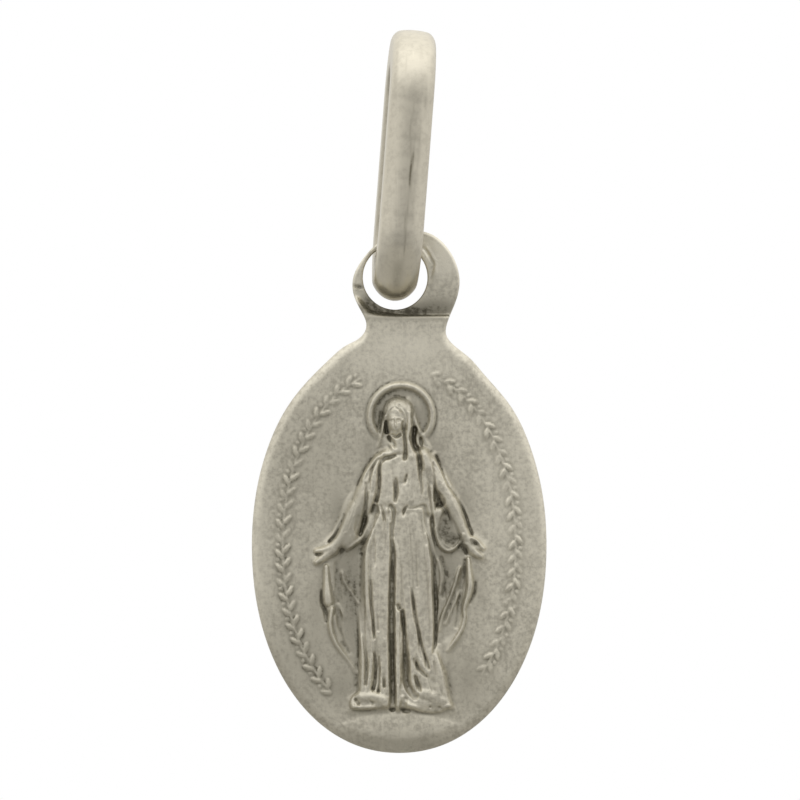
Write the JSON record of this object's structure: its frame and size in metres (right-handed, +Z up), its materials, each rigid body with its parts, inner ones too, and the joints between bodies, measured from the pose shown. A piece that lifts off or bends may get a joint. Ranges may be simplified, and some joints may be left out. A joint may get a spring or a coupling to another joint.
{
  "type": "religious medal pendant",
  "caption": "Oval silver devotional medal with a standing robed figure in relief, hung by its ring tab from a long soldered link that takes a neck chain.",
  "frame": {"origin": "top inner surface of the link, where the neck chain passes", "axes": "+Z up as the medal hangs, +X to the right seen from the front, the figure faces -Y"},
  "size_m": [0.01, 0.0046, 0.0245],
  "materials": {
    "medal_silver": "struck sterling silver, worn soft and bright on the high places, dark tarnish in the recesses",
    "bail_silver": "polished silver wire, scratched and lightly tarnished"
  },
  "bodies": {
    "bail": {"bail": "bail_silver"},
    "medal": {"medal": "medal_silver"}
  },
  "joints": [
    {"name": "medal_swing", "type": "hinge", "parent": "bail", "child": "medal", "pos_m": [-0.00053, 0, -0.00695], "axis": [0, -1, 0], "range_deg": [-130, 122]}
  ]
}
